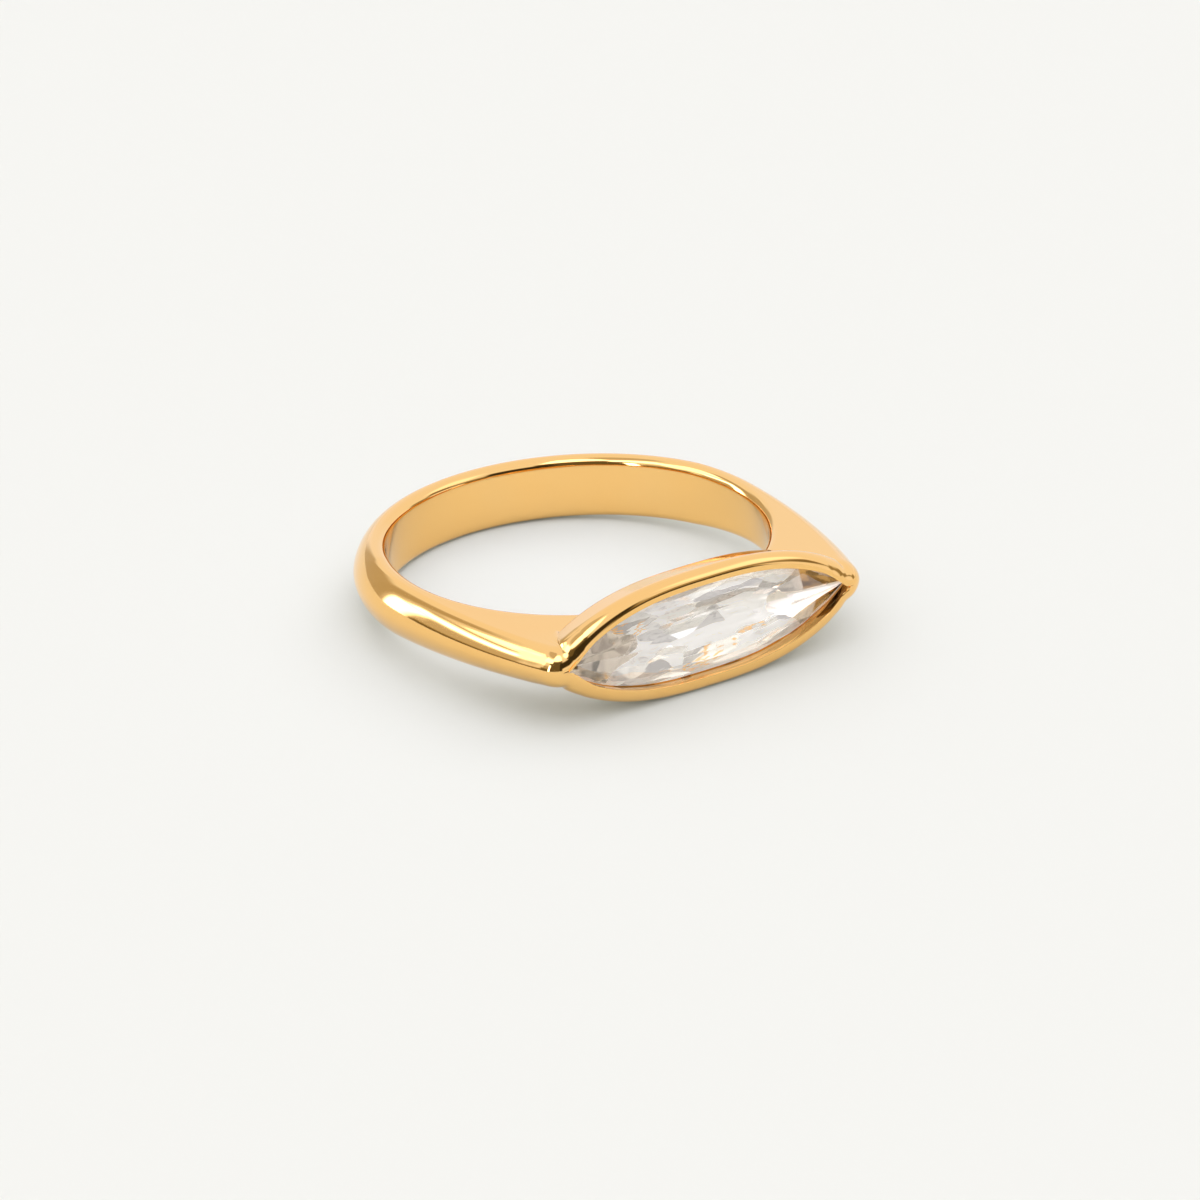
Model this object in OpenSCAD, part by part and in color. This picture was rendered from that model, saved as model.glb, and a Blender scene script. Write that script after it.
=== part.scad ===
// A finger ring with a long pointed head. One clear cut stone is sunk in the head.
// The ring lies on its side: the finger hole runs nearly along Z and the head faces -Y.
// The origin is the middle of the finger hole. Lengths are in millimetres.

/* [Band] */
// Radius of the finger hole
finger_r = 8.6; // [8:0.1:11]
// Thickness of the band at the back of the finger
band_wall = 1.5; // [1.2:0.05:2.4]
// Width of the band along the finger, at its back
band_w = 2.94; // [2.2:0.02:4]
// Width of the band where it reaches the tips of the head
tip_w = 1.84; // [1.4:0.02:2.6]
// Rounding of the band's edges inside the finger hole
inner_edge_r = 0.42; // [0.2:0.02:0.6]
// Height of the band's domed outside over the edges of its sides, at its back
dome_h = 0.98; // [0.3:0.02:1.2]
// Rounding of the outer edges of the band and the rim at the tips of the head
tip_edge_r = 0.86; // [0.5:0.02:0.9]
// Rounding of the corner between a shoulder and the front, seen along the finger
tip_corner_r = 1.3; // [0.4:0.05:1.4]

/* [Bezel] */
// How far the front of the head stands out from the finger hole
head_rise = 2.04; // [1.8:0.02:3]
// Width of the rim beside the middle of the stone
rim_w = 0.64; // [0.35:0.01:0.9]
// Length of metal between each tip of the opening and the corner of the shoulder
tip_l = 0.7; // [0.6:0.02:1.1]
// Depth of the bezel from its front to its back
bezel_h = 2.24; // [1.9:0.02:3]
// How much the bezel draws in on each side towards its back
bezel_draft = 0.36; // [0.1:0.02:0.6]
// Rounding of the rim's outer edge at the middle of the head
rim_edge_r = 0.55; // [0.1:0.01:0.6]
// Rounding of the bezel's back edge
back_edge_r = 0.42; // [0.1:0.02:0.6]

/* [Stone] */
// Length of the opening in the rim
opening_l = 15.04; // [13:0.02:16]
// Width of the opening in the rim
opening_w = 4.34; // [4:0.02:5.6]
// Height of the rim above the edge of the stone
lip_h = 0.65; // [0.3:0.05:0.75]
// How far the lip laps over the stone on each side
lip_lap = 0.06; // [0.02:0.01:0.15]
// Clearance between the stone and the metal
stone_gap = 0.05; // [0.02:0.01:0.1]
// Thickness of the stone's girdle
girdle_h = 0.1; // [0.05:0.01:0.2]
// Height of the stone's crown, from its girdle to its table
crown_h = 0.72; // [0.4:0.02:0.9]
// Metal left between the stone's pocket and the finger hole
floor_h = 0.25; // [0.15:0.05:0.5]

/* [Hidden] */

// Exponents of the pointed outlines: how full their sides are, and how blunt their tips are
BEZEL_FULLNESS = 2.7;
STONE_FULLNESS = 2.7;
TIP_BLUNTNESS = 0.9;
// Half length of the bezel's outline and of its cut-off ends, which are hidden in the shoulders,
// as shares of the half length of the front
BEZEL_REACH = 1.05;
BEZEL_END = 0.925;
// Largest rounding, as a share of the half width that it rounds
EDGE_LIMIT = 0.95;
// Where the band starts to narrow, as a share of the hole's radius behind its centre,
// and how late it does so
NARROWING_START = 0.35;
NARROWING_BEND = 0.9;

// Cut of the stone, as shares of its half length, its half width, and the height of its crown
TABLE_CORNERS = [0.66, 0.6, 1];
STAR_CORNERS = [0.86, 0.82, 0.5];
// The same for the lower half: shares of length, width and the depth of the pavilion
LOWER_CORNERS = [0.3, 0.3, 0.76];
// Corners of the table
CUT = 8;
// Outline of the pocket's bottom, as a share of its outline at the girdle
POCKET_BOTTOM = 0.3;

// Steps along the bezel's side, over an edge, over half of the dome, round a shoulder's corner and
// over half the front
STEPS_BEZEL = 20;
STEPS_EDGE = 4;
STEPS_DOME = 7;
STEPS_CORNER = 6;
STEPS_FRONT = 5;
// Points round the stone's girdle: a multiple of twice the table's corners
STEPS_GIRDLE = 32;
// Degrees between the band's sections behind the head
BACK_STEP = 4.5;
BORE_SIDES = 180;

// How far the loft of the band reaches into the finger hole before the hole is cut
loft_margin = 0.03;
// How far the band's front stays behind the rim, so that the two faces don't lie in one plane
face_step = 0.03;

band_r = finger_r + band_wall;
face_y = finger_r + head_rise;
head_l = opening_l + 2 * tip_l;
shoulder_in = band_r - head_l / 2;
// Radius of a shoulder that leaves the round back at its widest point and ends at a tip
shoulder_r = (face_y * face_y + shoulder_in * shoulder_in) / (2 * shoulder_in);
bezel_w = opening_w + 2 * rim_w;
// Roundings, which leave a narrow flat on what they round
tip_r = min(tip_edge_r, EDGE_LIMIT * tip_w / 2);
inner_r = min(inner_edge_r, EDGE_LIMIT * tip_w / 2);
rim_r = min(rim_edge_r, EDGE_LIMIT * rim_w);
// The dome leaves a narrow flat on the band's sides too. Its half width is nearly the band's
outer_r = min(dome_h, EDGE_LIMIT * (band_wall - inner_r));
dome_w = EDGE_LIMIT * band_w / 2;
narrowing_y = NARROWING_START * finger_r;

// Plan of a shoulder's corner, seen along the finger: a round corner of radius tip_corner_r that
// touches the front and the shoulder. Its centre lies corner_x beside and corner_y before the axis
shoulder_x = shoulder_r - band_r;
corner_y = face_y - tip_corner_r;
corner_reach = shoulder_r - tip_corner_r;
corner_x = sqrt(corner_reach * corner_reach - corner_y * corner_y) - shoulder_x;
// Angles round from the head at which the corner meets the front and the shoulder
corner_from = atan2(corner_x, face_y);
corner_to = atan2(
    (corner_x + shoulder_x) * shoulder_r / corner_reach - shoulder_x,
    corner_y * shoulder_r / corner_reach
);

stone_l = opening_l / 2 + lip_lap - stone_gap;
stone_w = opening_w / 2 + lip_lap - stone_gap;
girdle_y = face_y - lip_h - stone_gap;
pocket_y = finger_r + floor_h;
pavilion_h = girdle_y - girdle_h - pocket_y - stone_gap;

// The tilt at which the ring lies by itself: on the domed back of the band, and on the lower
// side of the bezel at its front or its back, whichever comes first
rest_tilt = max(
    lean(face_y - rim_r, bezel_w / 2 - rim_r, rim_r),
    lean(face_y - bezel_h + back_edge_r, bezel_w / 2 - bezel_draft - back_edge_r, back_edge_r)
);

// Tilt of the line that touches the band's domed back and a round edge of radius r, whose centre
// lies y in front of the hole's axis and z below its middle. How far the dome reaches towards the
// line depends on the tilt, which is worked out in a few rounds
function lean(y, z, r, rounds = 4) =
    let (
        tilt = rounds == 0 ? 0 : lean(y, z, r, rounds - 1),
        reach = norm([dome_w * cos(tilt), outer_r * sin(tilt)]),
        across = band_r - outer_r + y,
        down = z - (band_w / 2 - dome_w)
    )
    acos((reach - r) / norm([across, down])) - atan2(across, down);

// Half width of a pointed outline with half length l and half width w, at place x
function outline_half(x, l, w, fullness) =
    w * pow(max(0, 1 - pow(abs(x) / l, fullness)), TIP_BLUNTNESS);

// A pointed outline at depth y with a point at each tip, counted round from the right tip
function pointed_ring(y, l, w) = [
    for (i = [0 : STEPS_GIRDLE - 1])
        let (
            a = 360 * i / STEPS_GIRDLE,
            x = l * cos(a)
        )
        [x, -y, sign(sin(a)) * outline_half(x, l, w, STONE_FULLNESS)]
];

// How far the band has narrowed at depth y in front of the hole's axis, from 0 to 1
function narrowing(y) =
    pow(max(0, min(1, (y + narrowing_y) / (face_y + narrowing_y))), NARROWING_BEND);

// Value of a size that goes from its size at the back to its size at the tips
function towards_tip(back, tip, y) = back + (tip - back) * narrowing(y);

// Distance from the origin, along a direction a degrees round from the head, to the far side of
// a circle of radius r whose centre lies x beside and y before the hole's axis
function circle_reach(a, x, y, r) =
    let (along = x * sin(a) + y * cos(a))
    along + sqrt(along * along - x * x - y * y + r * r);

// Distance from the hole's axis to the outside of the band, a degrees round from the head
function band_reach(a) =
    let (t = abs(a))
    t >= 90 ? band_r
    : t >= corner_to ? circle_reach(t, -shoulder_x, 0, shoulder_r)
    : t > corner_from ? circle_reach(t, corner_x, corner_y, tip_corner_r)
    : face_y / cos(t);

// How far the front has fallen back at place x, where it turns round the corner of a shoulder
function front_drop(x) =
    let (past = max(0, abs(x) - corner_x))
    tip_corner_r - sqrt(tip_corner_r * tip_corner_r - past * past);

// A quarter round about [x, z] in a number of steps, rx wide and rz high, from angle a to angle b
function quarter(x, z, rx, rz, a, b, steps) = [
    for (i = [0 : steps])
        let (t = a + (b - a) * i / steps)
        [x + rx * cos(t), z + rz * sin(t)]
];

// Section of the band, a degrees round from the head, as [distance from the axis, z] points
function band_section(a) =
    let (
        reach = band_reach(a),
        far = reach - towards_tip(0, face_step, reach * cos(a)),
        near = finger_r - loft_margin,
        far_w = towards_tip(band_w, tip_w, far * cos(a)) / 2,
        near_w = towards_tip(band_w, tip_w, near * cos(a)) / 2,
        far_r = towards_tip(outer_r, tip_r, far * cos(a)),
        dome = towards_tip(dome_w, tip_r, far * cos(a))
    )
    concat(
        quarter(near + inner_r, inner_r - near_w, inner_r, inner_r, 180, 270, STEPS_EDGE),
        quarter(far - far_r, dome - far_w, far_r, dome, 270, 360, STEPS_DOME),
        quarter(far - far_r, far_w - dome, far_r, dome, 0, 90, STEPS_DOME),
        quarter(near + inner_r, near_w - inner_r, inner_r, inner_r, 90, 180, STEPS_EDGE)
    );

// Places of the band's sections in degrees from the head, closer round the corners of the tips
half_angles = concat(
    [for (i = [0 : STEPS_FRONT - 1]) corner_from * i / STEPS_FRONT],
    [for (i = [0 : STEPS_CORNER]) corner_from + (corner_to - corner_from) * i / STEPS_CORNER],
    [for (t = [corner_to + BACK_STEP : BACK_STEP : 180 - BACK_STEP / 2]) t]
);
section_angles = concat(
    half_angles,
    [180],
    [for (i = [len(half_angles) - 1 : -1 : 1]) -half_angles[i]]
);

// Triangles that join rings of n points, ring after ring. A closed skin comes back to its first ring
function skin_faces(rings, n, closed) = [
    for (i = [0 : rings - (closed ? 1 : 2)], j = [0 : n - 1])
        let (
            k = (j + 1) % n,
            p = i * n,
            q = ((i + 1) % rings) * n
        )
        each [[p + j, p + k, q + k], [p + j, q + k, q + j]]
];

// A solid through a stack of outlines, front to back, with flat ends
module stack(outlines) {
    n = len(outlines[0]);
    last = (len(outlines) - 1) * n;
    polyhedron(
        points = [for (o = outlines) each o],
        faces = concat(
            [[for (j = [n - 1 : -1 : 0]) j]],
            skin_faces(len(outlines), n, false),
            [[for (j = [0 : n - 1]) last + j]]
        ),
        convexity = 6
    );
}

// The band, with flat sides that narrow towards the head, a domed outside and straight shoulders
module band() {
    sections = [for (a = section_angles) band_section(a)];
    n = len(sections[0]);
    polyhedron(
        points = [
            for (i = [0 : len(sections) - 1])
                each [
                    for (p = sections[i])
                        [p[0] * sin(section_angles[i]), -p[0] * cos(section_angles[i]), p[1]]
                ]
        ],
        faces = skin_faces(len(sections), n, true),
        convexity = 10
    );
}

// One place of the bezel's outline: its [x, z], the way out from it, and its edge rounding there
function bezel_place(i) =
    let (
        l = BEZEL_REACH * head_l / 2,
        w = bezel_w / 2,
        share = BEZEL_END * cos(180 * i / STEPS_BEZEL),
        x = share * head_l / 2,
        half = outline_half(x, l, w, BEZEL_FULLNESS),
        step = l / 1000,
        slope = (outline_half(x + step, l, w, BEZEL_FULLNESS)
            - outline_half(x - step, l, w, BEZEL_FULLNESS)) / (2 * step)
    )
    [
        [x, half],
        [-slope, 1] / norm([slope, 1]),
        min(rim_r + (tip_r - rim_r) * pow(share / BEZEL_END, 2), EDGE_LIMIT * half)
    ];

// A ring of the bezel. Its turn goes from 0 on the flat of the rim, over the front edge, to 90 on
// the side, and from 90 on the side, over the back edge, to 180 on the back
function bezel_ring(turn, is_back) =
    let (
        places = [for (i = [0 : STEPS_BEZEL]) bezel_place(i)],
        upper = [
            for (p = places)
                let (
                    r = is_back ? back_edge_r : p[2],
                    inset = r * (1 - sin(turn)) + (is_back ? bezel_draft : 0),
                    at = p[0] - inset * p[1],
                    depth = is_back ? bezel_h - r * (1 + cos(turn)) : r * (1 - cos(turn))
                )
                [at[0], depth + front_drop(p[0][0]) * (is_back ? 0 : 1) - face_y, at[1]]
        ]
    )
    concat(upper, [for (i = [STEPS_BEZEL : -1 : 0]) [upper[i][0], upper[i][1], -upper[i][2]]]);

// Outer form of the bezel: a pointed block with rounded front and back edges. Each end is closed
// by strips between the points that face each other across it
module bezel_block() {
    rings = concat(
        [for (k = [0 : STEPS_EDGE]) bezel_ring(90 * k / STEPS_EDGE, false)],
        [for (k = [0 : STEPS_EDGE]) bezel_ring(90 + 90 * k / STEPS_EDGE, true)]
    );
    n = 2 * STEPS_BEZEL + 2;
    last = (len(rings) - 1) * n;
    polyhedron(
        points = [for (r = rings) each r],
        faces = concat(
            skin_faces(len(rings), n, false),
            [for (j = [0 : STEPS_BEZEL - 1]) [j, n - 1 - j, n - 2 - j, j + 1]],
            [
                for (j = [0 : STEPS_BEZEL - 1])
                    [last + j, last + j + 1, last + n - 2 - j, last + n - 1 - j]
            ]
        ),
        convexity = 6
    );
}

// The hollow that holds the stone: the opening in the rim, the groove under its lip and the
// tapered pocket below
module stone_pocket() {
    l = stone_l + stone_gap;
    w = stone_w + stone_gap;
    stack([
        pointed_ring(face_y + head_rise, opening_l / 2, opening_w / 2),
        pointed_ring(face_y - lip_h / 2, opening_l / 2, opening_w / 2),
        pointed_ring(girdle_y + stone_gap, l, w),
        pointed_ring(girdle_y - girdle_h, l, w),
        pointed_ring(pocket_y, l * POCKET_BOTTOM, w * POCKET_BOTTOM)
    ]);
}

module ring_metal() {
    color("#f0bd68")
    rotate([-rest_tilt, 0, 0])
    difference() {
        union() {
            band();
            bezel_block();
        }
        stone_pocket();
        cylinder(h = 4 * bezel_w, r = finger_r, center = true, $fn = BORE_SIDES);
    }
}

// Corners of a ring of facets at depth y: shares of the stone's length and width, and how many
// steps of the cut its first corner lies past the right tip
function facet_corners(shares, y, shift) = [
    for (i = [0 : CUT - 1])
        let (
            a = 360 * (i + shift) / CUT,
            x = stone_l * cos(a),
            z = sign(sin(a)) * outline_half(x, stone_l, stone_w, STONE_FULLNESS)
        )
        [shares[0] * x, -y, shares[1] * z]
];

// The stone: a table, a crown of star, kite and girdle facets, a thin girdle and a low pavilion
module navette_stone() {
    g = STEPS_GIRDLE;
    arm = g / CUT;
    lower_y = girdle_y - girdle_h;
    // first point of each ring of corners
    star = CUT;
    upper = star + CUT;
    lower = upper + g;
    deep = lower + g;
    culet = deep + CUT;
    color("#e8edf2")
    rotate([-rest_tilt, 0, 0])
    polyhedron(
        points = concat(
            facet_corners(TABLE_CORNERS, girdle_y + crown_h * TABLE_CORNERS[2], 0),
            facet_corners(STAR_CORNERS, girdle_y + crown_h * STAR_CORNERS[2], 0.5),
            pointed_ring(girdle_y, stone_l, stone_w),
            pointed_ring(lower_y, stone_l, stone_w),
            facet_corners(LOWER_CORNERS, lower_y - pavilion_h * LOWER_CORNERS[2], 0.5),
            [[0, pavilion_h - lower_y, 0]]
        ),
        faces = concat(
            [[for (i = [CUT - 1 : -1 : 0]) i]],
            [
                for (i = [0 : CUT - 1])
                    let (
                        next = (i + 1) % CUT,
                        before = (i + CUT - 1) % CUT,
                        tip = upper + arm * i,
                        under = lower + arm * i
                    )
                    each [
                        [i, next, star + i],
                        [i, star + i, tip],
                        [i, tip, star + before],
                        [culet, under, deep + i],
                        [culet, deep + before, under]
                    ]
            ],
            [
                for (i = [0 : CUT - 1], k = [0 : arm - 1])
                    let (
                        a = arm * i + k,
                        b = (a + 1) % g
                    )
                    each [
                        [star + i, upper + b, upper + a],
                        [upper + a, upper + b, lower + b],
                        [upper + a, lower + b, lower + a],
                        [deep + i, lower + a, lower + b]
                    ]
            ]
        ),
        convexity = 4
    );
}

ring_metal();
navette_stone();
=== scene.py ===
# A navette ring: polished gold-coloured metal and one clear cut stone, lying on its side
import math

import bmesh
import bpy
from mathutils import Matrix, Vector


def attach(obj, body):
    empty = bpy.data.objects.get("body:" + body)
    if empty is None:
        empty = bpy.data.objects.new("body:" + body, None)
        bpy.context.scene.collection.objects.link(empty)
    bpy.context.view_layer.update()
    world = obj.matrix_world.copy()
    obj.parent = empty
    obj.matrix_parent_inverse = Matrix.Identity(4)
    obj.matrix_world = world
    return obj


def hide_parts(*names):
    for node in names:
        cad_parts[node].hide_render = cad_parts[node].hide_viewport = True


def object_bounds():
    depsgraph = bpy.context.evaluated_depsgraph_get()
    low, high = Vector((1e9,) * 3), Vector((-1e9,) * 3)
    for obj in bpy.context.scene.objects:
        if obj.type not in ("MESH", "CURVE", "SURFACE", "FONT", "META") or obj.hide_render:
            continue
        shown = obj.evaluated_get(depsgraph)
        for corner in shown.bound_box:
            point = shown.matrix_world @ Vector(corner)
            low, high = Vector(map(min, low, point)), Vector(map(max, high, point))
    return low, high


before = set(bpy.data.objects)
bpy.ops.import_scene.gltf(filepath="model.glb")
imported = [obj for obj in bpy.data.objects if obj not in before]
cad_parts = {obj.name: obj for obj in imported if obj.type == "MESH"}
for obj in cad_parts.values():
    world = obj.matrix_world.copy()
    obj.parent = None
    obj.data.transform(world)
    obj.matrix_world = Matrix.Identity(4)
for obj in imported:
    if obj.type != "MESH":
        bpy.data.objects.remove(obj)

cad_low, cad_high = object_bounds()

# Sizes of the ring in millimetres. The finger hole runs along Z, and Y here points to the head
MILLIMETRE = 0.001
FINGER_R = 8.6
BAND_R = 10.1
BAND_HALF = 1.47
TIP_HALF = 0.92
FACE_Y = 10.64
HEAD_HALF = 8.22
SHOULDER_R = (FACE_Y**2 + (BAND_R - HEAD_HALF) ** 2) / (2 * (BAND_R - HEAD_HALF))
SHOULDER_X = SHOULDER_R - BAND_R
CORNER_R = 1.3
CORNER_Y = FACE_Y - CORNER_R
CORNER_X = math.sqrt((SHOULDER_R - CORNER_R) ** 2 - CORNER_Y**2) - SHOULDER_X
NARROWING_START = 3.01
NARROWING_BEND = 0.9
DOME_H = 0.98
DOMED_SHARE = 0.95
DOME_BEND = 1.58
TIP_EDGE = 0.86
INNER_EDGE = 0.42
BEZEL_L = 8.631
BEZEL_W = 2.81
BEZEL_H = 2.24
BEZEL_FULLNESS = 2.7
BEZEL_DRAFT = 0.36
RIM_EDGE = 0.5
BACK_EDGE = 0.42
OPENING_L = 7.52
OPENING_W = 2.17
OPENING_EDGE = 0.03
OPENING_TIP = 0.05
STONE_FULLNESS = 2.7
TIP_BLUNTNESS = 0.9
REST_TILT = math.radians(3.98923)
# How late the rim's and the dome's roundings change to the bezel tip's
RIM_BEND = 4
DOME_TO_TIP_BEND = 24
# How far the bezel's rows spread over the band's flat side, and how fast they do
SPREAD_SHARE = 0.6
SPREAD_BEND = 0.8
# Where the bezel's tips are smoothed: past these places and this far from the opening
SMOOTHED_X = 6.5
SMOOTHED_Y = 8.8
SMOOTHED_CLEARANCE = 0.12
SMOOTHING_TURNS = 14

# Rows of the metal's skin, from the middle of the front to the middle of the finger hole's wall
ROWS_LIP = 4
ROWS_FRONT = 5
ROWS_EDGE = 16
ROWS_WALL = 30
ROWS_SIDE = 8
ROWS_INNER = 8
ROWS_BORE = 5
# Stations round half of the ring, from the middle of the head to the middle of the back
STATIONS_OPENING = 72
CROWDING_AT_TIPS = 0.4
STATIONS_TIP = 3
STATIONS_CORNER = 20
STATIONS_SHOULDER = 36
STATIONS_BACK = 60
# Steps and tolerances of the search for a place, and the distances at which points are joined
SEARCH_STEP = 0.04
HALVINGS = 48
NEARLY = 1e-6
TOUCHING = 1e-5
JOINED_AT_MIRROR = 1e-4
JOINED = 1e-3


def to_part(bm):
    """Turns millimetres with the head at +Y into metres in the part's frame, at its rest tilt."""
    turn = Matrix.Rotation(-REST_TILT, 4, "X")
    place = turn @ Matrix.Diagonal((MILLIMETRE, -MILLIMETRE, MILLIMETRE, 1))
    bmesh.ops.transform(bm, matrix=place, verts=bm.verts)
    bmesh.ops.recalc_face_normals(bm, faces=bm.faces)


def finish_piece(bm, name, node, materials, crease=None):
    """Makes an object of a finished mesh, in the place of its CAD node. It is shaded smooth, but
    for edges sharper than crease, or flat where there is no crease."""
    to_part(bm)
    mesh = bpy.data.meshes.new(name)
    bm.to_mesh(mesh)
    bm.free()
    piece = bpy.data.objects.new(name, mesh)
    bpy.context.scene.collection.objects.link(piece)
    if crease is not None:
        mesh.shade_smooth()
        mesh.set_sharp_from_angle(angle=crease)
    for material in materials:
        mesh.materials.append(material)
    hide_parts(node)
    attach(piece, "root")


# Outlines

def outline_half(x, half_length, half_width, fullness):
    """Half width of a pointed outline at place x."""
    left = max(0.0, 1 - (abs(x) / half_length) ** fullness)
    return half_width * left**TIP_BLUNTNESS


def bezel_half(x):
    """Half width of the bezel's outline."""
    return outline_half(x, BEZEL_L, BEZEL_W, BEZEL_FULLNESS)


def opening_half(x):
    """Half width of the opening for the stone."""
    return outline_half(x, OPENING_L, OPENING_W, STONE_FULLNESS)


def which_side(place):
    """1 or -1 for the two sides of the middle plane, and 0 on it."""
    return (place > NEARLY) - (place < -NEARLY)


def way_out(half, x):
    """Direction out from an outline at place x, along X and along Z."""
    step = 0.004
    slope = (half(x + step) - half(x - step)) / (2 * step)
    return Vector((-slope, 1)).normalized()


def narrowing(y):
    """How far the band has narrowed at height y: 0 at the back and 1 at the head's front."""
    share = (y + NARROWING_START) / (FACE_Y + NARROWING_START)
    return min(1, max(0, share)) ** NARROWING_BEND


def towards_tip(back, tip, y):
    """One of the band's sizes at height y, between its size at the back and at the tips."""
    return back + (tip - back) * narrowing(y)


def side_half(x, y):
    """Half width of the band at a place of its flat side, with the rounding into the hole."""
    past = INNER_EDGE - (math.hypot(x, y) - FINGER_R)
    height = towards_tip(BAND_HALF, TIP_HALF, y)
    if past > 0:
        height -= INNER_EDGE - math.sqrt(max(0, INNER_EDGE**2 - past**2))
    return height


def solve(low, high, passed):
    """The place between low and high at which passed() turns true."""
    for _ in range(HALVINGS):
        middle = (low + high) / 2
        if passed(middle):
            high = middle
        else:
            low = middle
    return high


# Where the bezel's outline leaves the band's flat side
CROSSING = solve(0, BEZEL_L, lambda x: bezel_half(x) < TIP_HALF)


def bezel_side(run, edge):
    """How far in and how far down the bezel's side is, after a run along it from the rim. The
    rim's rounding has the size edge."""
    across = BEZEL_DRAFT + BACK_EDGE - edge
    down = BEZEL_H - BACK_EDGE - edge
    span = math.hypot(across, down)
    lean = math.acos((BACK_EDGE - edge) / span) - math.atan2(down, across)
    straight = math.sqrt(span**2 - (BACK_EDGE - edge) ** 2)
    turn = math.pi / 2 + lean
    if run < edge * lean:
        turn = math.pi / 2 + run / edge
        return edge * (1 - math.sin(turn)), edge * (1 - math.cos(turn))
    run -= edge * lean
    if run < straight:
        return (
            edge * (1 - math.sin(turn)) - run * math.cos(turn),
            edge * (1 - math.cos(turn)) + run * math.sin(turn),
        )
    run -= straight
    turn = min(math.pi, turn + run / BACK_EDGE)
    flat = max(0, run - BACK_EDGE * (math.pi / 2 - lean))
    return (
        BEZEL_DRAFT + BACK_EDGE * (1 - math.sin(turn)) + flat,
        BEZEL_H - BACK_EDGE * (1 + math.cos(turn)),
    )


def evenly(count, low=0.0, high=1.0):
    """Places from low to high, without the first one."""
    return [low + (high - low) * (i + 1) / count for i in range(count)]


def to_the_hole(start, meeting):
    """The rows from the foot of the bezel or of the outer edge, over the flat side, to the hole."""
    x, y, z = start
    far = math.hypot(*meeting)
    inner = Vector(meeting) * FINGER_R / far
    begin = 0.0
    rows = []
    if far < FINGER_R + INNER_EDGE:
        begin = math.asin(min(1, 1 - (far - FINGER_R) / INNER_EDGE))
    for share in evenly(ROWS_SIDE):
        at = Vector((x, y)).lerp(Vector(meeting), share)
        rows.append(Vector((at.x, at.y, side_half(at.x, at.y))))
    for turn in evenly(ROWS_INNER, begin, math.pi / 2):
        at = inner * (1 + INNER_EDGE * (1 - math.sin(turn)) / FINGER_R)
        height = towards_tip(BAND_HALF, TIP_HALF, at.y)
        rows.append(Vector((at.x, at.y, height - INNER_EDGE * (1 - math.cos(turn)))))
    foot = rows[-1].z
    for share in evenly(ROWS_BORE):
        rows.append(Vector((inner.x, inner.y, foot * (1 - share))))
    return rows


def head_rows(x):
    """The skin's rows at one station of the head, from the opening to the finger hole."""
    edge = RIM_EDGE + (TIP_EDGE - RIM_EDGE) * (x / CROSSING) ** RIM_BEND
    at_crossing = x > CROSSING - NEARLY
    out = way_out(bezel_half, min(x, CROSSING))
    if at_crossing:
        out = Vector(((1 - out.y) / out.x, 1))
    half = bezel_half(x)
    past = max(0, x - CORNER_X)
    front = FACE_Y - CORNER_R + math.sqrt(CORNER_R**2 - past**2)
    # past the corner, the way down from the front turns with the corner's rounding
    aside = past / CORNER_R
    deep = math.sqrt(1 - aside**2)

    def on_bezel(inset, depth):
        return Vector((
            x - inset * out.x - depth * aside, front - depth * deep, half - inset * out.y
        ))

    # the small rounding of the opening's edge fades out at its tips, where the outline has no
    # one direction, so the direction is taken a little before them
    opening = opening_half(x)
    lip = min(OPENING_EDGE, opening / 2)
    from_opening = way_out(opening_half, min(x, OPENING_L - OPENING_TIP))
    rows = []
    for i in range(ROWS_LIP + 1):
        turn = math.pi / 2 * i / ROWS_LIP
        outward = from_opening * lip * (1 - math.cos(turn))
        rows.append(
            Vector((x + outward.x, front - lip * (1 - math.sin(turn)), opening + outward.y))
        )
    inner = rows[-1].copy()
    for share in evenly(ROWS_FRONT):
        rows.append(inner.lerp(on_bezel(edge, 0), share))
    for turn in evenly(ROWS_EDGE, 0, math.pi / 2):
        rows.append(on_bezel(edge * (1 - math.sin(turn)), edge * (1 - math.cos(turn))))

    def landed(run):
        at = on_bezel(*bezel_side(run, edge))
        return at.z <= side_half(at.x, at.y) or math.hypot(at.x, at.y) <= FINGER_R

    run = 0.0
    if not at_crossing:
        reach = 0.0
        while not landed(reach):
            reach += SEARCH_STEP
        run = solve(max(0, reach - SEARCH_STEP), reach, landed)
    foot = on_bezel(*bezel_side(run, edge))
    below = 0.0
    if math.hypot(foot.x, foot.y) < FINGER_R + TOUCHING:
        below = max(0, foot.z - (towards_tip(BAND_HALF, TIP_HALF, foot.y) - INNER_EDGE))
    for way in evenly(ROWS_WALL, 0, run + below):
        if way <= run:
            rows.append(on_bezel(*bezel_side(way, edge)))
        else:
            rows.append(Vector((foot.x, foot.y, foot.z - (way - run))))
    foot = rows[-1]
    far = max(FINGER_R, math.hypot(foot.x, foot.y))
    if far < FINGER_R + INNER_EDGE:
        meeting = Vector((foot.x, foot.y)).normalized() * far
    else:
        wide = FINGER_R + INNER_EDGE
        meeting = Vector((foot.x, math.sqrt(wide**2 - foot.x**2)))
    return rows + to_the_hole(foot, meeting)


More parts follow.
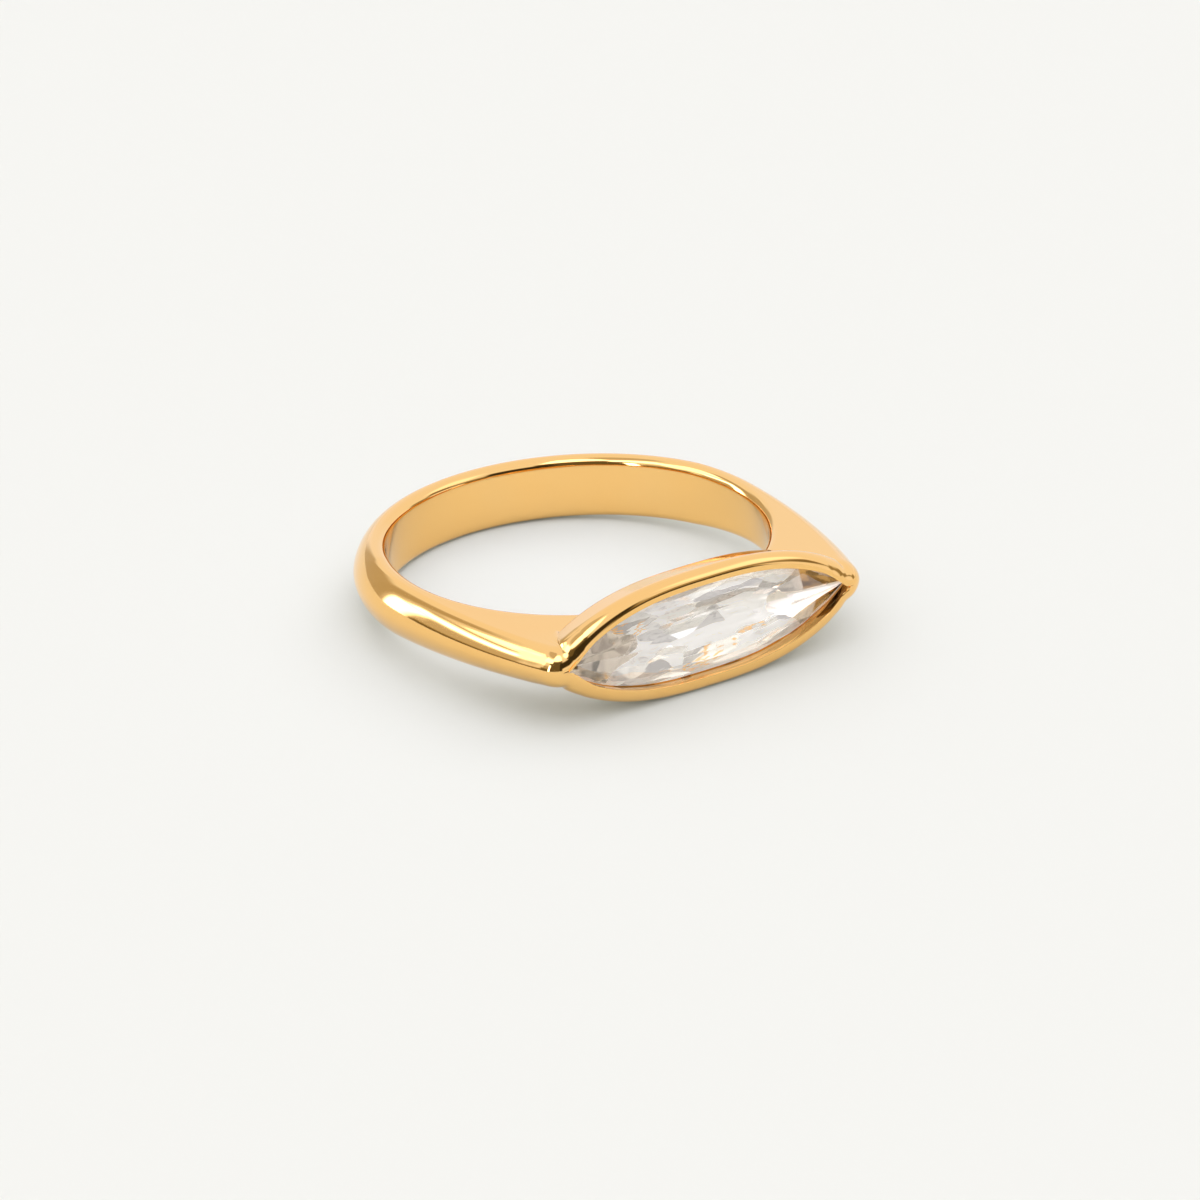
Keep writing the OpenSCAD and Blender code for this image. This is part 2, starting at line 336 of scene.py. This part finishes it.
def band_rows(centre, radius, turn_out, opened):
    """The skin's rows at one station of the band. Its outside here is an arc about centre, and
    opened tells how far the bezel's rows have spread over the flat side."""
    out = Vector((math.sin(turn_out), math.cos(turn_out)))
    at = Vector(centre) + out * radius
    depth = towards_tip(DOME_H, TIP_EDGE, at.y)
    bend = 2 / (DOME_BEND + (2 - DOME_BEND) * narrowing(at.y) ** DOME_TO_TIP_BEND)
    height = (1 - DOMED_SHARE) * towards_tip(BAND_HALF, TIP_HALF, at.y)
    rows = [Vector((at.x, at.y, 0))] * (ROWS_LIP + 1)
    for share in evenly(ROWS_FRONT):
        rows.append(Vector((at.x, at.y, height * share)))
    for turn in evenly(ROWS_EDGE, 0, math.pi / 2):
        inward = at - out * depth * (1 - max(0, math.cos(turn)) ** bend)
        height = towards_tip(BAND_HALF, TIP_HALF, inward.y)
        height *= 1 - DOMED_SHARE * (1 - math.sin(turn) ** bend)
        rows.append(Vector((inward.x, inward.y, height)))
    start = rows[-1]
    crossing_angle = math.atan2(CROSSING, FACE_Y)
    inner_crossing = math.asin(CROSSING / (FINGER_R + INNER_EDGE))
    angle = math.atan2(at.x, at.y)
    if angle < math.pi / 2:
        share = (angle - crossing_angle) / (math.pi / 2 - crossing_angle)
        angle = inner_crossing + (math.pi / 2 - inner_crossing) * share
    meeting = Vector((math.sin(angle), math.cos(angle))) * (FINGER_R + INNER_EDGE)
    for share in evenly(ROWS_WALL, 0, opened):
        on_side = start.xy.lerp(meeting, share)
        rows.append(Vector((*on_side, side_half(*on_side))))
    return rows + to_the_hole(rows[-1], meeting)


def metal_stations():
    """All the stations round half of the ring."""
    stations = [head_rows(0.0)]
    for share in evenly(STATIONS_OPENING):
        crowded = CROWDING_AT_TIPS * math.sin(math.pi / 2 * share)
        eased = (1 - CROWDING_AT_TIPS) * share + crowded
        stations.append(head_rows(OPENING_L * eased))
    for x in evenly(STATIONS_TIP, OPENING_L, CROSSING):
        stations.append(head_rows(x))
    first = math.asin((CROSSING - CORNER_X) / CORNER_R)
    shoulder = math.atan2(CORNER_X + SHOULDER_X, CORNER_Y)
    arcs = [((CORNER_X, CORNER_Y), CORNER_R, turn)
            for turn in evenly(STATIONS_CORNER, first, shoulder)]
    arcs += [((-SHOULDER_X, 0), SHOULDER_R, turn)
             for turn in evenly(STATIONS_SHOULDER, shoulder, math.pi / 2)]
    arcs += [((0, 0), BAND_R, turn)
             for turn in evenly(STATIONS_BACK, math.pi / 2, math.pi)]
    for i, arc in enumerate(arcs):
        spread = min(1, (i + 1) / STATIONS_CORNER)
        stations.append(band_rows(*arc, SPREAD_SHARE * spread**SPREAD_BEND))
    return stations


def is_at_tip(x, y, z):
    """Whether a point lies at one of the bezel's tips, where the band's skin meets the rim."""
    clear_of_opening = (
        abs(z) > opening_half(x) + SMOOTHED_CLEARANCE or abs(x) > OPENING_L + SMOOTHED_CLEARANCE
    )
    return abs(x) > SMOOTHED_X and y > SMOOTHED_Y and clear_of_opening


def metal_mesh():
    """The band, shoulders and bezel as one skin: a quarter is pressed to shape from a flat grid
    and mirrored twice, and the stone's pocket is drawn in from the edge of the opening."""
    stations = metal_stations()
    last_station, last_row = len(stations) - 1, len(stations[0]) - 1
    bm = bmesh.new()
    bmesh.ops.create_grid(bm, x_segments=last_station, y_segments=last_row, size=1)
    for vert in bm.verts:
        station = round((vert.co.x + 1) / 2 * last_station)
        row = round((vert.co.y + 1) / 2 * last_row)
        vert.co = stations[station][row]
    for axis in "XZ":
        bmesh.ops.mirror(
            bm, geom=[*bm.verts, *bm.edges, *bm.faces], merge_dist=JOINED_AT_MIRROR, axis=axis
        )
    bmesh.ops.remove_doubles(bm, verts=bm.verts, dist=JOINED)
    at_tips = [vert for vert in bm.verts if is_at_tip(*vert.co)]
    for _ in range(SMOOTHING_TURNS):
        bmesh.ops.smooth_vert(
            bm, verts=at_tips, factor=0.5, use_axis_x=True, use_axis_y=True, use_axis_z=True
        )
    draw_pocket(bm)
    return bm


# The stone's pocket, ring by ring: half length, half width and depth below the front
POCKET = [
    (OPENING_L, OPENING_W, 0.2),
    (OPENING_L, OPENING_W, 0.34),
    (7.58, 2.23, 0.65),
    (7.58, 2.23, 0.8),
    (5.0, 1.5, 1.3),
    (2.27, 0.67, 1.78),
]


def draw_pocket(bm):
    """Draws the skin's open edge down into a pocket and closes its bottom."""
    loop = [edge for edge in bm.edges if edge.is_boundary]
    length_before = OPENING_L
    for half_length, half_width, depth in POCKET:
        made = bmesh.ops.extrude_edge_only(bm, edges=loop)["geom"]
        loop = [part for part in made if isinstance(part, bmesh.types.BMEdge)]
        for vert in (part for part in made if isinstance(part, bmesh.types.BMVert)):
            x = vert.co.x * half_length / length_before
            half = outline_half(x, half_length, half_width, STONE_FULLNESS)
            vert.co = (x, FACE_Y - depth, which_side(vert.co.z) * half)
        length_before = half_length
    bmesh.ops.edgeloop_fill(bm, edges=loop)


# The stone

STONE_L = 7.53
STONE_W = 2.175
STONE_TABLE_Y = 10.66
GIRDLE_TOP_Y = 9.94
GIRDLE_BACK_Y = 9.84
CULET_Y = 8.9
GIRDLE_POINTS = 128
# Faces that look less far forward than this are the stone's silvery back
BACK_FACING = 0.05

# Facets on one side of the stone: the places along it where they touch the girdle, how far in
# and how far down from the girdle the facet starts, and its fall for each millimetre inwards
CROWN_CUTS = [
    ((0, 2.6), 0, 0, 0.74),
    ((5.0,), 0, 0, 0.56),
    ((6.9,), 0, 0, 0.36),
    ((3.8, 6.0), 0, -0.03, 1.05),
    ((1.3, 3.9), 0.72, 0.54, 0.34),
    ((5.9,), 1.3, 0.58, 0.2),
]
PAVILION_CUTS = [
    ((0.9, 2.6, 4.3, 6.4), 0, 0, 0.44),
    ((0, 1.7, 3.5, 5.2, 7.0), 0, -0.02, 0.72),
    ((0, 1.9, 3.6), 0.9, 0.5, 0.3),
    ((0.8, 2.8, 4.9), 1.4, 0.7, 0.16),
]


def cut_facet(bm, at, facing):
    """Cuts away what lies beyond a plane and closes the cut with one flat facet."""
    bmesh.ops.bisect_plane(
        bm, geom=[*bm.verts, *bm.edges, *bm.faces], dist=TOUCHING,
        plane_co=at, plane_no=facing, clear_outer=True,
    )
    rim = [edge for edge in bm.edges if edge.is_boundary]
    if rim:
        bmesh.ops.edgeloop_fill(bm, edges=rim)


def stone_half(x):
    return outline_half(x, STONE_L, STONE_W, STONE_FULLNESS)


def stone_mesh():
    """A block with the stone's outline, cut facet by facet: first the crown, then the pavilion."""
    bm = bmesh.new()
    bmesh.ops.create_circle(bm, cap_ends=True, segments=GIRDLE_POINTS, radius=1)
    for vert in bm.verts:
        x = STONE_L * vert.co.x
        vert.co = (x, CULET_Y, which_side(vert.co.y) * stone_half(x))
    made = bmesh.ops.extrude_face_region(bm, geom=bm.faces[:])["geom"]
    raised = [part for part in made if isinstance(part, bmesh.types.BMVert)]
    bmesh.ops.translate(bm, vec=(0, STONE_TABLE_Y - CULET_Y, 0), verts=raised)
    bmesh.ops.recalc_face_normals(bm, faces=bm.faces)
    halves = ((CROWN_CUTS, GIRDLE_TOP_Y, 1), (PAVILION_CUTS, GIRDLE_BACK_Y, -1))
    for cuts, girdle_y, way in halves:
        for places, inward, down, fall in cuts:
            for place in places:
                out = way_out(stone_half, place)
                at = Vector((place, stone_half(place))) - out * inward
                for x_side in (1, -1) if place else (1,):
                    for z_side in (1, -1):
                        cut_facet(
                            bm, (x_side * at.x, girdle_y + way * down, z_side * at.y),
                            (x_side * out.x * fall, way, z_side * out.y * fall),
                        )
    for face in bm.faces:
        face.material_index = int(face.normal.y < BACK_FACING)
    return bm


# Materials

def new_material(name):
    material = bpy.data.materials.new(name)
    material.use_nodes = True
    tree = material.node_tree
    return material, tree, tree.nodes["Principled BSDF"]


def add_node(tree, kind, **settings):
    node = tree.nodes.new(kind)
    for name, value in settings.items():
        setattr(node, name, value)
    return node


def feed(tree, socket, value):
    """Gives an input socket a plain value, or the output of another node."""
    if isinstance(value, bpy.types.NodeSocket):
        tree.links.new(value, socket)
    else:
        socket.default_value = value


def feed_all(tree, sockets, values):
    for socket, value in zip(sockets, values):
        feed(tree, socket, value)


def combine(tree, operation, *values):
    """A Math node and what it gives."""
    node = add_node(tree, "ShaderNodeMath", operation=operation)
    feed_all(tree, node.inputs, values)
    return node.outputs[0]


def combine_vectors(tree, operation, *values):
    """A Vector Math node and what it gives."""
    node = add_node(tree, "ShaderNodeVectorMath", operation=operation)
    feed_all(tree, node.inputs, values)
    return node.outputs[0]


def fade(tree, value, start, end, low=0.0, high=1.0):
    """Goes smoothly from low to high while value goes from start to end."""
    node = add_node(tree, "ShaderNodeMapRange", interpolation_type="SMOOTHSTEP")
    names = ("Value", "From Min", "From Max", "To Min", "To Max")
    feed_all(tree, [node.inputs[name] for name in names], (value, start, end, low, high))
    return node.outputs[0]


def blend(tree, share, low, high):
    """A number between low and high."""
    node = add_node(tree, "ShaderNodeMix", data_type="FLOAT")
    feed_all(tree, node.inputs[:1] + node.inputs[2:4], (share, low, high))
    return node.outputs[0]


def blend_colours(tree, share, low, high):
    """A colour between low and high."""
    node = add_node(tree, "ShaderNodeMix", data_type="RGBA")
    feed_all(tree, node.inputs[:1] + node.inputs[6:8], (share, low, high))
    return node.outputs[2]


def noise(tree, place, scale, detail=2.0, roughness=0.5, distortion=0.0, output="Fac"):
    node = add_node(tree, "ShaderNodeTexNoise")
    names = ("Vector", "Scale", "Detail", "Roughness", "Distortion")
    feed_all(
        tree, [node.inputs[name] for name in names], (place, scale, detail, roughness, distortion)
    )
    return node.outputs[output]


def stretched(tree, place, scale):
    """The object's coordinates, drawn out along one or two axes."""
    node = add_node(tree, "ShaderNodeMapping")
    feed_all(tree, (node.inputs["Vector"], node.inputs["Scale"]), (place, scale))
    return node.outputs[0]


def object_place(tree):
    return add_node(tree, "ShaderNodeTexCoord").outputs["Object"]


# What the group for polishing lines is given: the lines' place, their pattern, and the
# roughness that they have between two strengths of it
POLISH_INPUTS = [
    ("Place", "NodeSocketVector"),
    ("Stretch", "NodeSocketVector"),
    ("Scale", "NodeSocketFloat"),
    ("Detail", "NodeSocketFloat"),
    ("Grain", "NodeSocketFloat"),
    ("Start", "NodeSocketFloat"),
    ("End", "NodeSocketFloat"),
    ("Smooth", "NodeSocketFloat"),
    ("Rough", "NodeSocketFloat"),
]


def polishing_lines():
    """The fine lines that polishing leaves, as a group that gives a surface's roughness."""
    group = bpy.data.node_groups.new("polishing lines", "ShaderNodeTree")
    for name, kind in POLISH_INPUTS:
        group.interface.new_socket(name, in_out="INPUT", socket_type=kind)
    group.interface.new_socket("Roughness", in_out="OUTPUT", socket_type="NodeSocketFloat")
    given = add_node(group, "NodeGroupInput").outputs
    lines = noise(
        group, stretched(group, given["Place"], given["Stretch"]),
        given["Scale"], given["Detail"], given["Grain"],
    )
    roughness = fade(group, lines, *(given[name] for name in ("Start", "End", "Smooth", "Rough")))
    feed(group, add_node(group, "NodeGroupOutput").inputs["Roughness"], roughness)
    return group


def polish(tree, place, *values):
    """Places the polishing lines in a material, with its own values."""
    node = add_node(tree, "ShaderNodeGroup", node_tree=POLISHING_LINES)
    feed_all(tree, node.inputs, (place, *values))
    return node.outputs["Roughness"]


POLISHING_LINES = polishing_lines()

GOLD_DEEP = (0.98, 0.585, 0.2, 1)
GOLD_PALE = (0.97, 0.6, 0.22, 1)
# The colour of the light that the gold throws on the table, and its share behind the stone
THROWN_LIGHT = (0.9, 0.9, 0.88, 1)
THROWN_BEHIND_STONE = 0.75


def polished_gold():
    material, tree, surface = new_material("polished gold")
    place = object_place(tree)
    clouds = fade(tree, noise(tree, place, 160, 3), 0.3, 0.7)
    tint = blend_colours(tree, clouds, GOLD_DEEP, GOLD_PALE)
    # the light that it throws on the table and through the stone is whiter than its own colour
    path = add_node(tree, "ShaderNodeLightPath").outputs
    thrown = combine(
        tree, "MULTIPLY_ADD",
        path["Is Transmission Ray"], THROWN_BEHIND_STONE, path["Is Diffuse Ray"],
    )
    feed(tree, surface.inputs["Base Color"], blend_colours(tree, thrown, tint, THROWN_LIGHT))
    surface.inputs["Metallic"].default_value = 1
    roughness = polish(tree, place, (1, 1, 6), 900, 4, 0.65, 0.3, 0.75, 0.05, 0.1)
    feed(tree, surface.inputs["Roughness"], roughness)
    bump = add_node(tree, "ShaderNodeBump")
    feed(tree, bump.inputs["Strength"], 0.05)
    feed(tree, bump.inputs["Distance"], 0.0002)
    feed(tree, bump.inputs["Height"], noise(tree, place, 260, 2))
    feed(tree, surface.inputs["Normal"], bump.outputs[0])
    return material


STONE_WARM = (1, 0.99, 0.96, 1)
STONE_CLEAR = (0.99, 0.99, 0.98, 1)


def clear_stone():
    material, tree, surface = new_material("clear stone")
    place = object_place(tree)
    tint = blend_colours(tree, noise(tree, place, 500, 2), STONE_WARM, STONE_CLEAR)
    feed(tree, surface.inputs["Base Color"], tint)
    surface.inputs["Transmission Weight"].default_value = 1
    surface.inputs["IOR"].default_value = 1.9
    roughness = polish(tree, place, (1, 1, 5), 1500, 3, 0.5, 0.4, 0.8, 0.0, 0.02)
    feed(tree, surface.inputs["Roughness"], roughness)
    return material


# The stone's back: its silver and painted reflections, where along the stone the painted gold
# reflection at the tips fades in, and how far the small facets' place and facing vary
SILVER_WHITE = (1.0, 0.98, 0.93, 1)
# painted reflection: the grey of the stone's darker facets
GREY_PAINTED_REFLECTION = (0.34, 0.31, 0.3, 1)
# painted reflection of the gold pocket, warm at the stone's tips
TIP_PAINTED_GOLD_REFLECTION = (0.85, 0.68, 0.55, 1)
# painted glint: orange flecks that stand for reflections of the gold
PAINTED_GOLD_GLINT = (1.0, 0.6, 0.25, 1)
TIP_REFLECTION_START = 0.0042
TIP_REFLECTION_END = 0.0056
FACET_SHIFT = (0.0008, 0.001, 0.001)
FACET_LEAN = 0.08
# painted glow: the back gives off light, though it is no lamp
PAINTED_BACK_GLOW = 0.26


def silver_back_and_painted_reflections():
    """A silvery mirror with painted reflections: grey facets, gold at the tips, glints, a glow."""
    material, tree, surface = new_material("silver back and painted reflections")
    place = object_place(tree)
    shift = noise(tree, place, 350, 1, output="Color")
    shifted = combine_vectors(tree, "MULTIPLY_ADD", shift, FACET_SHIFT, place)
    facets = add_node(tree, "ShaderNodeTexVoronoi")
    feed(tree, facets.inputs["Vector"], stretched(tree, shifted, (0.26, 1, 1)))
    feed(tree, facets.inputs["Scale"], 2000)
    reflection_streaks = noise(tree, stretched(tree, place, (0.4, 1, 1)), 2600, 3, 0.6, 1.5)
    along = add_node(tree, "ShaderNodeSeparateXYZ")
    feed(tree, along.inputs[0], place)
    from_middle = combine(tree, "ABSOLUTE", along.outputs[0])
    tip = fade(tree, from_middle, TIP_REFLECTION_START, TIP_REFLECTION_END)
    chance = add_node(tree, "ShaderNodeSeparateColor")
    feed(tree, chance.inputs[0], facets.outputs["Color"])
    for_grey_reflection, for_painted_glint, for_gloss = chance.outputs

    # painted reflections: grey facets and streaks over the silver
    grey_reflection_share = combine(
        tree, "ADD",
        fade(tree, for_grey_reflection, 0.3, 1, 0, 0.7), fade(tree, reflection_streaks, 0.5, 0.75, 0, 0.4),
    )
    colour = blend_colours(tree, grey_reflection_share, SILVER_WHITE, GREY_PAINTED_REFLECTION)
    # painted reflection of the gold towards the tips
    colour = blend_colours(tree, combine(tree, "MULTIPLY", tip, 0.8), colour, TIP_PAINTED_GOLD_REFLECTION)
    # painted orange glints in a few facets
    painted_glint_share = combine(
        tree, "MULTIPLY",
        combine(tree, "GREATER_THAN", for_painted_glint, 0.85), fade(tree, reflection_streaks, 0.57, 0.61),
    )
    colour = blend_colours(tree, painted_glint_share, colour, PAINTED_GOLD_GLINT)
    feed(tree, surface.inputs["Base Color"], colour)
    # painted glow: the back's colour is also given off as light
    feed(tree, surface.inputs["Emission Color"], colour)
    surface.inputs["Emission Strength"].default_value = PAINTED_BACK_GLOW

    # less mirror at the tips, so that the painted gold reflection shows
    mirror = combine(tree, "SUBTRACT", 1.0, combine(tree, "MULTIPLY", tip, 0.85))
    mirror = combine(tree, "MULTIPLY", mirror, fade(tree, for_gloss, 0.4, 0.75))
    feed(tree, surface.inputs["Metallic"], mirror)
    feed(tree, surface.inputs["Roughness"], fade(tree, for_gloss, 0.2, 1, 0.03, 0.12))
    lean = combine_vectors(
        tree, "MULTIPLY_ADD",
        facets.outputs["Color"], (2 * FACET_LEAN,) * 3, (-FACET_LEAN,) * 3,
    )
    facing = add_node(tree, "ShaderNodeNewGeometry").outputs["Normal"]
    leant = combine_vectors(tree, "ADD", facing, lean)
    feed(tree, surface.inputs["Normal"], combine_vectors(tree, "NORMALIZE", leant))
    return material


# The ring's two pieces

METAL_CREASE = math.radians(50)

finish_piece(
    metal_mesh(), "ring_of_metal", "ring_metal", [polished_gold()], METAL_CREASE
)
finish_piece(
    stone_mesh(), "cut_stone", "navette_stone", [clear_stone(), silver_back_and_painted_reflections()]
)

# The table that the ring lies on

TABLE_HALF = 2
TABLE_TONE = (0.796, 0.783, 0.693, 1)
TABLE_ROUGHNESS = 0.9

table_mesh = bpy.data.meshes.new("table_top")
bm = bmesh.new()
bmesh.ops.create_grid(bm, x_segments=1, y_segments=1, size=TABLE_HALF)
bmesh.ops.translate(bm, vec=(0, 0, cad_low.z), verts=bm.verts)
bm.to_mesh(table_mesh)
bm.free()
table_top = bpy.data.objects.new("table_top", table_mesh)
bpy.context.scene.collection.objects.link(table_top)
table_material, _, table_surface = new_material("pale table")
table_surface.inputs["Base Color"].default_value = TABLE_TONE
table_surface.inputs["Roughness"].default_value = TABLE_ROUGHNESS
table_mesh.materials.append(table_material)

# Light

# Strength, turns, heights and softness of the studio's panels. A later one covers those before
# it. Turns go from the front towards the right, and heights up from the table, in degrees
LIGHT_PANELS = [
    (0.55, (170, 200), (-90, 22), 10),
    (0.52, (-200, -160), (-90, 30), 10),
    (0.5, (-164, -150), (-90, 47), 7),
    (2.3, (-142, -93), (22, 50), 5),
    (3.0, (-143, -130), (37, 44), 3),
    (0.7, (-150, -124), (30.5, 34.5), 2.5),
    (5.0, (-146, -119), (22.5, 28.5), 3),
    (0.6, (-138, -112), (-90, 19.5), 6),
    (0.16, (-138, -92), (-90, 5), 5),
    (5.0, (-148, -138.5), (-90, 22), 3.5),
    (0.5, (-96, -72), (-90, 24), 8),
    (0.15, (-104, -62), (-90, 12), 8),
    (0.13, (-72, -8), (-90, 46), 5),
    (0.04, (-22, 23), (-90, 36), 7),
    (0.06, (14, 35), (-90, 14), 4),
    (1.0, (-6, 19), (-90, 7), 5),
    (0.35, (22, 46), (12, 24), 5),
    (0.22, (46, 66), (13, 26), 5),
    (0.3, (62, 80), (-90, 13), 6),
    (1.5, (36, 76), (30, 52), 8),
    (0.62, (-165, -62), (62, 84), 6),
    (2.8, (-66, -10), (50, 80), 8),
    (3.0, (-108, -60), (38, 56), 6),
    (6.0, (-72, -65), (-90, 28), 1.5),
]
BETWEEN_PANELS = 1.0
# The stone's and the table's light, at the foot of the sky and at its top
STONE_LIGHT = (0.9, 2.7)
SKY_LIGHT = (0.4, 1.42)
# A softbox on the right that lights the table alone, laid out as the panels are
SIDE_LIGHT = (2.4, (85, 125), (25, 50), 14)
DIM_COLOUR = (1.12, 0.95, 0.55, 1)
BRIGHT_COLOUR = (0.985, 1.0, 1.1, 1)


def light_panel(tree, light, turn, height, strength, turns, heights, soft):
    """Adds a panel to the studio's light, which fades out over soft degrees at its edges."""
    reach = math.radians(soft) / 2
    sides = []
    for angle, (low, high) in ((turn, turns), (height, heights)):
        low, high = math.radians(low), math.radians(high)
        sides.append(fade(tree, angle, low - reach, low + reach))
        sides.append(fade(tree, angle, high - reach, high + reach, 1, 0))
    share = combine(
        tree, "MULTIPLY",
        combine(tree, "MULTIPLY", sides[0], sides[1]),
        combine(tree, "MULTIPLY", sides[2], sides[3]),
    )
    return blend(tree, share, light, strength)


def studio_light():
    """Soft white light from all round, with a dark side behind the camera and softboxes."""
    world = bpy.data.worlds.new("studio")
    bpy.context.scene.world = world
    world.use_nodes = True
    # sampled as one map, the light would mix up what each kind of ray should meet
    world.cycles.sampling_method = "NONE"
    tree = world.node_tree
    towards = add_node(tree, "ShaderNodeSeparateXYZ")
    feed(tree, towards.inputs[0], add_node(tree, "ShaderNodeTexCoord").outputs["Generated"])
    x, y, z = towards.outputs
    turn = combine(tree, "ARCTAN2", x, combine(tree, "MULTIPLY", y, -1.0))
    height = combine(tree, "ARCSINE", z)
    light = BETWEEN_PANELS
    for panel in LIGHT_PANELS:
        light = light_panel(tree, light, turn, height, *panel)
    # the dark panels show as reflections in the metal, but don't dim the stone or the table
    path = add_node(tree, "ShaderNodeLightPath").outputs
    stone_sky = fade(tree, height, 0, 1, *STONE_LIGHT)
    light = blend(tree, path["Is Transmission Ray"], light, stone_sky)
    table_sky = light_panel(tree, fade(tree, z, 0, 1, *SKY_LIGHT), turn, height, *SIDE_LIGHT)
    light = blend(tree, path["Is Diffuse Ray"], light, table_sky)
    # dim light is warmer than bright light
    colour = blend_colours(tree, fade(tree, light, 0.15, 0.9), DIM_COLOUR, BRIGHT_COLOUR)
    background = tree.nodes["Background"]
    feed(tree, background.inputs["Color"], colour)
    feed(tree, background.inputs["Strength"], light)


studio_light()
bpy.context.scene.view_settings.view_transform = "Standard"

# Camera, at the photograph's viewing angle

CAMERA_TURN = math.radians(-33.652)
CAMERA_HEIGHT = math.radians(26.813)
CAMERA_ROLL = math.radians(1.4844)
CAMERA_DISTANCE = 0.49778
SENSOR_WIDTH = 36
PIXELS_PER_METRE = 22303.1
IMAGE_SIZE = 1200
HOLE_IN_IMAGE = (578.2, 559.8)

camera_data = bpy.data.cameras.new("camera")
camera = bpy.data.objects.new("camera", camera_data)
bpy.context.scene.collection.objects.link(camera)
bpy.context.scene.camera = camera
back = Vector((
    math.sin(CAMERA_TURN) * math.cos(CAMERA_HEIGHT),
    -math.cos(CAMERA_TURN) * math.cos(CAMERA_HEIGHT),
    math.sin(CAMERA_HEIGHT),
))
right = Vector((math.cos(CAMERA_TURN), math.sin(CAMERA_TURN), 0))
axes = Matrix((right, back.cross(right), back)).transposed().to_4x4()
camera.matrix_world = (
    Matrix.Rotation(CAMERA_ROLL, 4, "X") @ Matrix.Translation(back * CAMERA_DISTANCE) @ axes
)
camera_data.sensor_width = SENSOR_WIDTH
camera_data.lens = PIXELS_PER_METRE * CAMERA_DISTANCE * SENSOR_WIDTH / IMAGE_SIZE
camera_data.shift_x = 0.5 - HOLE_IN_IMAGE[0] / IMAGE_SIZE
camera_data.shift_y = HOLE_IN_IMAGE[1] / IMAGE_SIZE - 0.5
camera_data.clip_start = 0.01
camera_data.clip_end = 10
